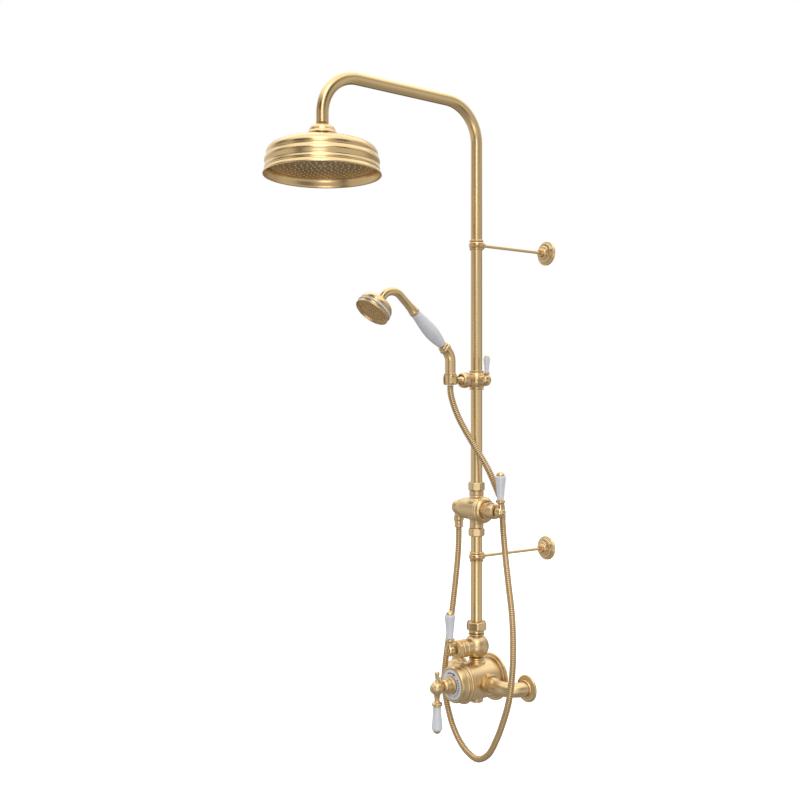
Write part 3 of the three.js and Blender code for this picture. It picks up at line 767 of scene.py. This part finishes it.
def mixer():
    rear = 33
    barrel = [(0, -33.8), (34.8, -33.8), (36, -32.8), (36, 27.4), (34.9, 28.0), (34.9, 29.0), (36, 29.6),
              (36, rear), (0, rear)]
    neck = [(0, 20), (17.6, 20), (17.6, 33.6), (16.8, 35.6), (14.4, 37.0), (13.4, 38.6), (14.0, 40.2),
            (15.4, 41.2), (15.6, 42.4), (14.8, 43.6), (0, 43.6)]
    port = [(0, 20), (18.6, 20), (18.6, 34.6), (18, 36.4), (16.6, 37), (0, 37)]
    boss = [(0, 20), (13, 20), (13, 36.6), (12.2, 37.6), (0, 37.6)]
    fine("mixer_body", [
        turned(barrel, MIXER, Y, 96, 0.5), turned(neck, MIXER, Z, 72), turned(port, MIXER, X, 72),
        turned(port, MIXER, -X, 72), turned(boss, MIXER, DOWN, 72),
    ], CAST_BRASS)
    plate = [(0, rear + 0.4), (38.6, rear + 0.4), (40.2, 34.6), (40.6, 36.0), (43.6, 36.4), (45, 37.6),
             (45.5, 38.8),
             (45.5, WALL - 0.4), (45.1, WALL), (0, WALL)]
    fine("wall_plate", [turned(plate, MIXER, Y, 96, 0.4)], CAST_BRASS)
    plug = [(0, 37.7), (12.2, 37.7), (12.6, 38.6), (12.6, 40.4), (11.2, 42), (5, 42.4), (3.4, 42.4),
            (3, 40.8), (0, 40.8)]
    fine("body_plug", [turned(plug, MIXER, DOWN, 56, 0.3)], CAST_BRASS)
    bezel = [(14.4, 34.4), (36.6, 34.4), *arc(36.0, 38.2, 3.4, -66, 74, 10), (36.0, 42.0), (35.5, 43.0),
             (35.9, 44.6),
             *arc(34.9, 46.2, 1.5, -40, 64, 5), (34.5, 48.6), (34.9, 50), (34.8, 55.6), (34.2, 58.6),
             (32.8, 60.8), (31.0, 61.8), (29.4, 61.8),
             (28.8, 61), (28.6, 59.4), (14.4, 59.4)]
    fine("front_bezel", [turned(bezel, MIXER, FRONT, 96, 0.35)], CAST_BRASS)
    dial = [(16.1, 59.7), (28.3, 59.7), (28.3, 61.6), (27.4, 62.3), (17, 62.3), (16.1, 61.8)]
    fine("dial_ring", [turned(dial, MIXER, FRONT, 96, 0.4)], CERAMIC)
    dial_marks(MIXER + FRONT * 62.32)

    for side, sign in (("left", -1), ("right", 1)):
        out = X * sign
        fine(f"inlet_nut_{side}", [nut(20.4, 37.4, 44.6, MIXER, out, bevel=2.4, bore=15.4, crisp=30)],
             CAST_BRASS)
        sleeve = [(12, 38.2), (15.2, 38.2), (15.2, 52.6), (14.8, 54.4), (14.1, 55.4), (14.1, 58),
                  (13.4, 59), (12, 59)]
        centre_x = middle(f"wall_flange_{side}").x
        path = plumb(MIXER + out * 46, out, Z, [(abs(centre_x) - 46 - 30, 30, 90 * sign),
            (WALL - 31, 0, 0)])
        fine(f"inlet_elbow_{side}", [tube(path, 13.5, 56), turned(sleeve, MIXER, out, 64)], CAST_BRASS)
        flange = [(13.9, 32.6), (15.2, 32.6), (15.9, 33.6), *flowing([(16.2, 34.2), (18.2, 35.0),
            (21.6, 35.4), (23.0, 35.9)], 3),
                  (24.4, 36.6), (25, 37.8), (25, WALL - 0.4), (24.6, WALL), (13.9, WALL)]
        fine(f"wall_flange_{side}", [turned(flange, Vector((centre_x, RISER_Y, 0)), Y, 72, 0.35)],
             CAST_BRASS)


def dial_marks(centre):
    """A generic scale on the dial: ticks that grow round one side, dots on the other, and an arrow."""
    marks = []
    middle_r = 22.2

    def on(angle, r):
        a = math.radians(angle)
        outward = X * math.cos(a) + Z * math.sin(a)
        return centre + outward * r, outward, X * -math.sin(a) + Z * math.cos(a)

    for k in range(9):
        at, outward, across = on(-62 + 12 * k, middle_r)
        marks.append(box((2.6 + 0.4 * k, 1.7, 0.16), at, outward, across, 0.04))
    for k in range(7):
        at, outward, across = on(-176 + 12 * k, middle_r)
        marks.append(box((2.6, 2.4, 0.16), at, outward, across, 0.04))
    for k in range(11):
        at, outward, across = on(64 + 5 * k, middle_r)
        marks.append(box((2.0, 2.6, 0.16), at, outward, across, 0.04))
    for way in (-1, 1):
        at, outward, across = on(64, middle_r)
        slant = (across * 0.8 + outward * 0.6 * way).normalized()
        marks.append(box((4.8, 1.7, 0.16), at + slant * 2.0, slant, slant.cross(FRONT) * -1, 0.04))
    piece("dial_marks", "column", marks, INK)


def temperature_knob():
    base = [(6, 62.9), (16.4, 62.9), (16.6, 63.6), (16.6, 65.2), (16, 66), (14.6, 66.4), (14.1, 67.4),
            (14.9, 68.8),
            (15, 73.8), (14.4, 75.4), (12.6, 76.2), (12.2, 77.4), (12.4, 79.6), (11, 82), (8.8, 83.4),
            (6, 83.4)]
    centre = MIXER + FRONT * 96
    button = MIXER + FRONT * 88
    fine("knob_base", [turned(base, MIXER, FRONT, 80, 0.4)], CAST_BRASS)
    globe = [(0, -12.2), (7.8, -12.2), (8.2, -10.4), *arc(0, 0, 12.9, -48, 52, 16), (6.9, 11.2),
             (6.6, 12.4),
             *arc(0, 6.8, 8.6, 42, 90, 6)]
    finial = [(0, 6), (5.6, 10.6), (4.4, 12.2), (3.3, 14.6), (3.2, 18.6), (3.7, 20.8), (4.0, 21.6),
              (3.6, 22.4),
              *arc(0, 26.7, 4.9, -44, 90, 12)]
    stem = [(0, 6), (7.6, 9.6), (6.0, 14), (5.0, 19), (4.8, 23.4), (6.0, 25.4), (8.2, 26.6), (9.9, 28),
            (9.9, 29.4), (9.0, 30),
            (9.0, 30.4), (9.9, 31), (9.9, 32.2), (9.2, 32.8), (0, 32.8)]
    fine("knob_hub", [
        turned(globe, centre, FRONT, 64, 0.35), turned(finial, centre, Z, 48, 0.3), turned(stem, centre,
                                                                                           DOWN, 56, 0.35),
    ], CAST_BRASS)
    grip = [(0, 33), (7.0, 33), *flowing([(7.4, 33.6), (7.5, 38), (8.0, 47), (8.9, 58), (9.8, 68),
            (10.2, 73), (10, 76), (8.8, 77.8)]),
            (7.6, 78.2), (0, 78.2)]
    fine("knob_grip", [turned(grip, centre, DOWN, 64, 0.4)], CERAMIC)
    tip = [(0, 78.2), (7.6, 78.2), (7.8, 79), (7.5, 80.2), *flowing([(7.0, 80.8), (5.6, 82.8), (3.6, 84.2),
            (1.8, 85), (0, 85.3)])]
    fine("knob_tip", [turned(tip, centre, DOWN, 48, 0.3)], CAST_BRASS)
    push = [(0, 9.4), (2.7, 9.4), (2.7, 18.6), (2.2, 19.4), (0, 19.8)]
    fine("stop_button", [turned(push, button, Z, 32, 0.3)], CAST_BRASS)


# ---- Valves on the riser ----

def flow_valve():
    shell = [(0, -21.2), (11.6, -21.2), (12.6, -20.4), *arc(0, 0, 23.9, -58, 57, 22), (12.6, 21.0),
             (12.9, 21.8), (15.2, 22.2),
             (15.8, 23.4), (15.2, 24.8), (0, 24.9)]
    barrel = [(0, 0), (16.2, 0), (16.2, 27), (17.0, 28), (17.0, 30.4), (16.2, 31.4), (16.2, 37.4),
              (17.3, 39), (17.5, 41.4),
              (16.6, 42.6), (0, 42.6)]
    fine("flow_valve_body", [turned(shell, FLOW, Z, 80, 0.4), turned(barrel, FLOW, FRONT, 72, 0.4)],
         CAST_BRASS)
    collar = [(5.4, 50), (14.2, 50), (14.4, 51.4), (12.6, 53.2), (11, 54.4), (5.4, 54.4)]
    fine("flow_valve_bonnet", [
        nut(18.3, 43, 51, FLOW, FRONT, bevel=2.2, bore=5.4, crisp=30), turned(collar, FLOW, FRONT, 64,
                                                                              0.35),
    ], CAST_BRASS)
    hub = joint_at("flow_turn")
    spindle = turned([(0, -32), (4.4, -32), (4.4, -4), (0, -4)], hub, FRONT, 32)
    lever("flow_lever", hub, FRONT, Z, 1, [spindle])


def diverter():
    at = DIVERTER
    barrel = [(0, -47.5), (13.4, -47.5), *flowing([(15.6, -46.6), (17.8, -42.4), (19.4, -37), (20.5, -30.6),
            (21, -24)], 4), (21, 12.4),
              (20.3, 13.0), (20.3, 13.8), (21.2, 14.4), (21.2, 16.0), (20.2, 16.8), (20.4, 17.8),
              (22.6, 18.2),
              (24.6, 19.0), (25.6, 20.6), (25.4, 22.4), (24.4, 23.4), (23.6, 23.8), (23.8, 24.8),
              (23.2, 26.2), (21.4, 28.0), (19.6, 29.4), (0, 29.4)]
    neck = [(0, 12), (18.6, 12), (18.0, 14.6), (16.2, 17.4), (14.2, 19.4), (13.2, 21.0), (13.7, 22.6),
            (13.6, 24.6), (12.8, 25.8),
            (12.8, 26.6), (13.5, 27.6), (13.8, 30.4), (13.4, 33), (13.4, 35.6), (0, 35.6)]
    outlet = [(0, -23.4), (8.6, -23.4), (8.6, -12), *arc(0, 0, 14.5, -50, 90, 18)]
    fine("diverter_body", [
        turned(barrel, at, X, 96, 0.4), turned(neck, at, Z, 72, 0.4), turned(neck, at, DOWN, 72, 0.4),
        turned(outlet, OUTLET, Z, 72, 0.4),
    ], CAST_BRASS)
    screw_way = (TOWARD_ROOM + Z * 0.05).normalized()
    cap = [(0, -1.6), (6.2, -1.6), (6.2, -0.6), (5.4, -0.5), (5.2, 0.5), (4.6, 1.1), (0, 1.3)]
    screw = turned(cap, OUTLET + screw_way * 14.3, screw_way, 40, 0.3)
    piece("outlet_screw", "column", [screw], CAST_BRASS)
    for level in ("upper", "lower"):
        low, high = span(f"diverter_nut_{level}")
        base = Vector((0, RISER_Y, low.z))
        fine(f"diverter_nut_{level}", [
            nut(16.6, 0, high.z - low.z, base, bevel=4.6, bore=11.4, crisp=20, turn_by=0.35)], CAST_BRASS)
    bonnet = [(5.4, 40), (14.2, 40), (14.2, 50.2), (13.6, 51), (13.6, 51.6), (14.2, 52.4), (14.2, 54.2),
              (12.8, 55.8), (9.6, 57.4), (5.4, 57.6)]
    fine("diverter_bonnet", [
        nut(18.1, 29.8, 41, at, X, bevel=2.4, bore=5.4, crisp=30), turned(bonnet, at, X, 64, 0.35),
    ], CAST_BRASS)
    hub = joint_at("diverter_turn")
    spindle = turned([(0, -50), (4.4, -50), (4.4, -4), (0, -4)], hub, X, 32)
    lever("diverter_lever", hub, X, Z, 1, [spindle])
    base = Vector((OUTLET.x, RISER_Y, span("hose_nut")[0].z))
    sleeve = [(6.7, 0), (8.0, 0), (8.5, 0.8), (8.5, 5), (8.0, 5.8), (8.0, 6.4), (8.5, 7.2), (8.7, 13),
              (9.6, 14.2),
              (10.2, 15.8), (10.2, 20.6), (9.6, 22.2), (9.2, 22.2), (9.2, 15.8), (6.7, 14)]
    fine("hose_nut", [turned(sleeve, base, Z, 64, 0.35)], CAST_BRASS)


# ---- Slider, cradle and handset ----

def slider():
    barrel = [(13.3, -18), (14.2, -18), (14.8, -17), *arc(-4.6, 0, 22.7, -42, 42, 20), (14.8, 17),
              (14.2, 18), (13.3, 18)]
    hub = [(6.2, 14), (12.8, 14), (12.8, 21.6), (13.4, 22.6), *flowing([(13.8, 23.6), (14.9, 26.4),
            (15.1, 30), (14.6, 34),
            (13.2, 37.4), (11.8, 38.9)], 4),
           (10.9, 39.2), (10.2, 38.4), (9.6, 35.2), (6.2, 34.6)]
    boss = [(3.4, 14), (10.2, 14), (10.2, 18.8), (9.6, 20.4), (8.6, 21.8), (7.6, 22.4), (3.4, 22.4)]
    fine("slider_body", [
        turned(barrel, SLIDER, Z, 96, 0.3), turned(hub, SLIDER, FRONT, 72, 0.3), turned(boss, SLIDER, X, 56,
                                                                                        0.3),
    ], CAST_BRASS)
    pivot = joint_at("clamp_lever_turn")
    cap = [(0, -7), (9.4, -7), (10.6, -6.2), (11.4, -4.6), (11.4, -0.6), (10.6, 0.6), (9.0, 1.4),
           (8.6, 2.2), (8.2, 3.6), (6.0, 5.4), (3, 6.4), (0, 6.7)]
    spindle = turned([(0, -15.4), (3.1, -15.4), (3.1, -4), (0, -4)], pivot, X, 32)
    lever("clamp_lever", pivot, X, Z, 0.62, [turned(cap, pivot, X, 56, 0.3), spindle])


def cradle():
    """A C-shaped jaw, open at the front, on a conical shaft."""
    sides = 72
    gap = math.radians(51.6)
    wall = [(10.8, -9.2), (12.2, -9.3), (13.2, -7.2), (13.8, -4), (13.8, 4), (13.2, 7.2), (12.2, 9.4),
            (10.8, 9.4)]
    rings = []
    section = softened(wall, 0.5, True)
    for k in range(sides + 1):
        a = -math.pi / 2 + gap + (2 * math.pi - 2 * gap) * k / sides
        out = Vector((math.cos(a), math.sin(a), 0))
        rings.append([CRADLE + out * p.x + Z * p.y for p, _ in section])
    ends = []
    for index, beside in ((0, 1), (-1, -2)):
        ring = rings[index]
        centre = sum(ring, Vector()) / len(ring)
        way = (centre - sum(rings[beside], Vector()) / len(ring)).normalized()
        inset = [p.lerp(centre, 0.22) + way * 0.9 for p in ring]
        ends.append((inset, centre + way * 1.0, way))
    tips = [[ends[0][1]], ends[0][0], *rings, ends[1][0], [ends[1][1]]]
    jaw = skin(tips)
    shaft = [(0, 13.4), (5.9, 13.4), (5.9, 35), (8.6, 36.4), *flowing([(8.2, 37.4), (6.0, 41), (4.6, 45),
            (4.2, 48.2)], 4),
             (5.4, 50.4), (6.2, 52.2), (0, 53)]
    fine("cradle", [jaw, turned(shaft, SLIDER, FRONT, 48, 0.3)], BRASS)


def handset():
    lean = math.radians(48)
    handle = Vector((0, -math.sin(lean), math.cos(lean)))
    cone = [(6.7, -9.6), (8.2, -9.6), (9.0, -9), (9.4, -8), (10.1, 9.0), (11.2, 9.7), (11.6, 10.4),
            (11.6, 12), (11.2, 12.6), (6.7, 12.6)]
    fine("hose_cone", [turned(cone, CRADLE, Z, 64, 0.3)], BRASS)

    foot = span("handset_tail")[0].z
    tail_top = 610
    tail = plumb(Vector((0, CRADLE.y, foot)), Z, X, [(tail_top - foot, 30, math.degrees(lean)), (2, 0, 0)])
    knuckle = tail[-1] + handle
    ferrule = [(0, -3.4), (9.8, -3.4), (10.6, -2.8), (11.6, -1.2), (11.7, 1.4), (11, 3.2), (9.9, 4.2),
               (10.1, 5.2), (10.5, 6.6),
               (9.8, 8.4), (8.2, 9.5), (0, 9.6)]
    fine("handset_tail", [tube(tail, 10, 48), turned(ferrule, knuckle, handle, 64, 0.35)], BRASS)
    beside = (X * 0.82 + handle.cross(X) * 0.57).normalized()
    screw = grub_screw(knuckle + handle * 0.2 + beside * 11.5, beside, 2.0)
    piece("ferrule_screw", "handset", screw, PAINTED_SHADE_BRASS)

    grip_foot = knuckle + handle * 10
    grip = [(0, 0), (7.2, 0), *flowing([(7.7, 0.8), (8.6, 4), (11.0, 14), (12.7, 25), (13.4, 37),
            (12.8, 49), (11.5, 62), (10, 74), (9.1, 82), (8.6, 83.6)]),
            (7.8, 84), (0, 84)]
    fine("handset_grip", [turned(grip, grip_foot, handle, 80, 0.4)], CERAMIC)

    neck_foot = grip_foot + handle * 84.4
    neck = plumb(neck_foot + handle * 12, handle, X, [(33, 26, 92.6), (6, 0, 0)])
    spray = (neck[-1] - neck[-2]).normalized()
    face = neck[-1] + spray * 35
    back = -spray
    sleeve = [(0, 0), (9.4, 0), (9.9, 0.8), (10.1, 2.4), *flowing([(9.8, 4), (8.6, 9), (7.9, 15),
            (7.5, 22)], 4), (7.3, 24), (0, 24)]
    bell = [(0, 10.9), (30.2, 10.9), (31, 11.3), (31.2, 12.6), (32, 13.6), *arc(18.4, 13.8, 13.6, 0, 72,
                                                                                12), (16.4, 28.2),
            (13.2, 28.8), (11.4, 29.8),
            (10.4, 31.2), (9.4, 32), (8.2, 33.4), (7.6, 37), (0, 37)]
    fine("handset_neck", [
        tube(neck, 7.4, 40), turned(sleeve, neck_foot, handle, 56, 0.3), turned(bell, face, back, 80, 0.3),
    ], BRASS)
    ring = [(26.6, 7.7), (32.6, 7.7), (33.3, 8.5), (33.3, 9.9), (32.6, 10.7), (26.6, 10.7)]
    fine("handset_ring", [turned(ring, face, back, 80, 0.6)], CERAMIC)
    plate = [(0, 4.2), (20, 4.0), (28.2, 4.4), (29.6, 3.6), (30.6, 1.2), (31.2, 0.1), (32.2, 0),
             (32.7, 0.7), (32.4, 2.2), (31.5, 4.4), (31.6, 7.4), (0, 7.4)]
    fine("handset_face", [turned(plate, face, back, 80, 0.3)], PLATE_BRASS)
    rings = [(0.01, 1)] + [(4.1 * i, 6 * i) for i in range(1, 7)]
    cones, holes = nozzles(face + back * 4.1, rings, 1.3, 0.9, spray, 8)
    piece("handset_nozzles", "handset", cones, BRASS)
    piece("handset_nozzle_holes", "handset", holes, PAINTED_SHADE_BRASS)


# ---- Stage ----

def pale_floor():
    mesh = bpy.data.meshes.new("floor")
    floor_z = cad_box[0].z - 0.9
    floor_r = 14
    corners = 64
    angles = [2 * math.pi * i / corners for i in range(corners)]
    mesh.from_pydata([(floor_r * math.cos(a), floor_r * math.sin(a), floor_z) for a in angles], [],
                     [list(range(corners))])
    material, nodes, _ = new_material("pale_floor")
    surface(nodes, {
        "Base Color": (0.9, 0.9, 0.9, 1), "Roughness": 0.8,
        "Emission Color": (1, 1, 1, 1), "Emission Strength": 0.35,
    })
    mesh.materials.append(material)
    floor = bpy.data.objects.new("floor", mesh)
    floor.visible_glossy = False
    floor.visible_diffuse = False
    bpy.context.scene.collection.objects.link(floor)


def studio():
    """A white background, and a soft studio round the object for its reflections."""
    world = bpy.data.worlds.new("studio")
    bpy.context.scene.world = world
    world.use_nodes = True
    nodes = Nodes(world.node_tree)
    way = nodes.add("TexCoord").outputs["Generated"]

    def math_node(kind, a, b=None):
        inputs = {0: a} if b is None else {0: a, 1: b}
        return nodes.add("Math", inputs, operation=kind).outputs[0]

    def panel(azimuth, elevation, wide, tall, soft):
        """How far a direction lies inside a soft-edged panel, from 0 to 1. Azimuth 0 is the camera's side, and
        positive is to its right. Sizes are half angles in degrees."""
        a = math.radians(VIEW_AZIMUTH + azimuth)
        toward = Vector((math.sin(a), -math.cos(a), 0))
        right = Vector((math.cos(a), math.sin(a), 0))
        e = math.radians(elevation)
        middle_way = toward * math.cos(e) + Z * math.sin(e)
        up = Z * math.cos(e) - toward * math.sin(e)
        ahead = nodes.add("VectorMath", {0: way, 1: middle_way},
                          operation="DOT_PRODUCT").outputs["Value"]
        share = None
        for axis, half in ((right, wide), (up, tall)):
            off = nodes.add("VectorMath", {0: way, 1: axis},
                            operation="DOT_PRODUCT").outputs["Value"]
            angle = math_node("ABSOLUTE", math_node("ARCTAN2", off, ahead))
            inside = nodes.add("MapRange", {
                "Value": angle, "From Min": math.radians(half + soft),
                "From Max": math.radians(half - soft),
                "To Min": 0.0, "To Max": 1.0}, interpolation_type="SMOOTHSTEP").outputs["Result"]
            share = inside if share is None else math_node("MULTIPLY", share, inside)
        return share

    height = nodes.add("SeparateXYZ", {0: way}).outputs["Z"]
    low_sky = nodes.add("MapRange", {
        "Value": height, "From Min": -1.0, "From Max": -0.12, "To Min": 0.34, "To Max": 0.74}).outputs["Result"]
    high_sky = nodes.add("MapRange", {
        "Value": height, "From Min": -0.02, "From Max": 0.14, "To Min": 0.0, "To Max": 0.16}).outputs["Result"]
    total = math_node("SUBTRACT", low_sky, high_sky)
    # Azimuth, elevation, half width, half height, edge softness, strength.
    panels = [
        (-2, 36, 12, 28, 5, 1.75),
        (-2, -16, 12, 8, 5, 1.75),
        (20, -1, 9, 5, 5, 0.25),
        (-41, -10, 8, 20, 6, -0.50),
        (-30, -1, 8, 4, 4, -0.30),
        (-37, 33, 21, 15, 3, -0.62),
        (47, 33, 14, 15, 5, -0.60),
        (-96, 34, 16, 18, 10, -0.45),
        (42, -36, 16, 14, 8, -0.34),
        (130, 2, 30, 16, 14, -0.34),
        (180, -24, 34, 16, 10, -0.5),
        (180, 40, 60, 28, 14, 0.45),
    ]
    for azimuth, elevation, wide, tall, soft, strength in panels:
        inside = panel(azimuth, elevation, wide, tall, soft)
        added = nodes.add("Math", {0: inside, 1: strength, 2: total}, operation="MULTIPLY_ADD")
        total = added.outputs[0]
    ceiling = nodes.add("MapRange", {
        "Value": height, "From Min": 0.5, "From Max": 0.8, "To Min": 0.0, "To Max": 0.9},
        interpolation_type="SMOOTHSTEP").outputs["Result"]
    total = math_node("MAXIMUM", math_node("ADD", total, ceiling), 0.02)
    light = nodes.add("Background", {"Color": total, "Strength": 1.0})
    plain = nodes.add("Background", {"Color": (1, 1, 1, 1), "Strength": 1.0})
    seen = nodes.add("LightPath").outputs["Is Camera Ray"]
    both = nodes.add("MixShader", {0: seen, 1: light.outputs[0], 2: plain.outputs[0]})
    nodes.add("OutputWorld", {"Surface": both.outputs[0]})
    bpy.context.scene.view_settings.view_transform = "Standard"


make_camera()
hose()
riser()
stays()
rain_rose()
mixer()
temperature_knob()
flow_valve()
diverter()
slider()
cradle()
handset()
for name, material in (("ball_stud", RAW_BRASS), ("thermostat_cartridge", RAW_BRASS),
                       ("flow_cartridge", RAW_BRASS),
                       ("diverter_cartridge", RAW_BRASS), ("ball_seat", NYLON), ("slider_liner", NYLON)):
    node = frame["nodes"][name]
    node.data.materials.clear()
    node.data.materials.append(material)
pale_floor()
studio()
